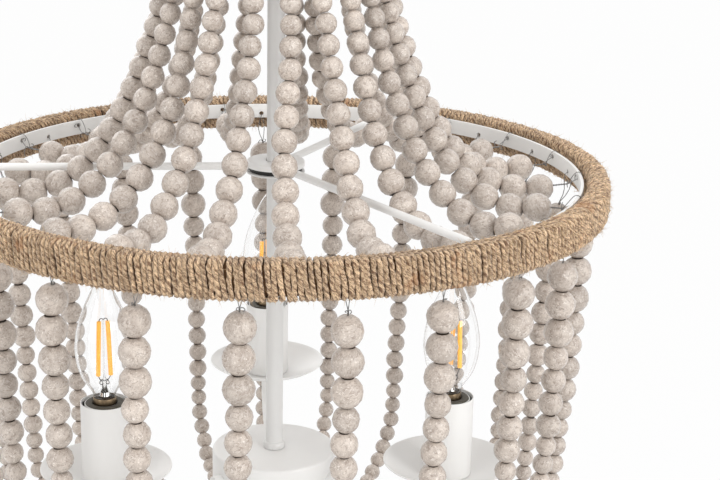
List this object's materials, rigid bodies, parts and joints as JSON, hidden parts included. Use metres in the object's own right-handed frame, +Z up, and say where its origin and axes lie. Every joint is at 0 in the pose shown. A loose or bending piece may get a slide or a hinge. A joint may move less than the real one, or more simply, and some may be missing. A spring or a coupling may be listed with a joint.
{
  "type": "beaded chandelier",
  "caption": "Beaded chandelier with a twine-wrapped ring, draped strings of washed wooden beads above and below it, and candle lights on saucers inside.",
  "frame": {"origin": "top of the hanging link's eye, where a hook or chain carries the fixture, on the stem's axis", "axes": "+Z up along the stem; +Y through the first light, away from the pictured side; +X to the pictured right"},
  "size_m": [0.42, 0.42, 0.5779],
  "materials": {
    "white_paint": "satin off-white paint on steel",
    "jute_twine": "rough natural jute twine",
    "washed_wood": "greige whitewash, lightly varnished",
    "zinc_plated_link": "dull zinc plate",
    "clear_glass": "clear, polished"
  },
  "bodies": {
    "link": {"hanger_link": "zinc_plated_link"},
    "chandelier": {"top_loop": "white_paint", "stem": "white_paint", "crown": "white_paint", "hub_washer": "white_paint", "ring_frame": "white_paint", "jute_wrap": "jute_twine", "drum_and_arms": "white_paint", "bottom_plate": "white_paint", "saucer_1": "white_paint", "saucer_2": "white_paint", "saucer_3": "white_paint", "sleeve_1": "white_paint", "sleeve_2": "white_paint", "sleeve_3": "white_paint", "upper_string_01": "washed_wood", "upper_string_02": "washed_wood", "upper_string_03": "washed_wood", "upper_string_04": "washed_wood", "upper_string_05": "washed_wood", "upper_string_06": "washed_wood", "upper_string_07": "washed_wood", "upper_string_08": "washed_wood", "upper_string_09": "washed_wood", "upper_string_10": "washed_wood", "upper_string_11": "washed_wood", "upper_string_12": "washed_wood", "upper_string_13": "washed_wood", "upper_string_14": "washed_wood", "upper_string_15": "washed_wood", "upper_string_16": "washed_wood", "upper_string_17": "washed_wood", "upper_string_18": "washed_wood", "upper_string_19": "washed_wood", "upper_string_20": "washed_wood", "upper_string_21": "washed_wood", "lower_string_01": "washed_wood", "lower_string_02": "washed_wood", "lower_string_03": "washed_wood", "lower_string_04": "washed_wood", "lower_string_05": "washed_wood", "lower_string_06": "washed_wood", "lower_string_07": "washed_wood", "lower_string_08": "washed_wood", "lower_string_09": "washed_wood", "lower_string_10": "washed_wood", "lower_string_11": "washed_wood", "lower_string_12": "washed_wood", "lower_string_13": "washed_wood", "lower_string_14": "washed_wood", "lower_string_15": "washed_wood", "lower_string_16": "washed_wood", "lower_string_17": "washed_wood", "lower_string_18": "washed_wood", "lower_string_19": "washed_wood", "lower_string_20": "washed_wood", "lower_string_21": "washed_wood"},
    "bulb_1": {"bulb_1": "clear_glass"},
    "bulb_2": {"bulb_2": "clear_glass"},
    "bulb_3": {"bulb_3": "clear_glass"}
  },
  "joints": [
    {"name": "swing", "type": "hinge", "parent": "link", "child": "chandelier", "pos_m": [0, 0, -0.0335], "axis": [1, 0, 0], "range_deg": [-40, 40]},
    {"name": "bulb_turn_1", "type": "hinge", "parent": "chandelier", "child": "bulb_1", "pos_m": [0, 0.1236, -0.3544], "axis": [0, 0, 1], "continuous": true},
    {"name": "bulb_turn_2", "type": "hinge", "parent": "chandelier", "child": "bulb_2", "pos_m": [-0.10704, -0.0618, -0.3544], "axis": [0, 0, 1], "continuous": true},
    {"name": "bulb_turn_3", "type": "hinge", "parent": "chandelier", "child": "bulb_3", "pos_m": [0.10704, -0.0618, -0.3544], "axis": [0, 0, 1], "continuous": true}
  ]
}
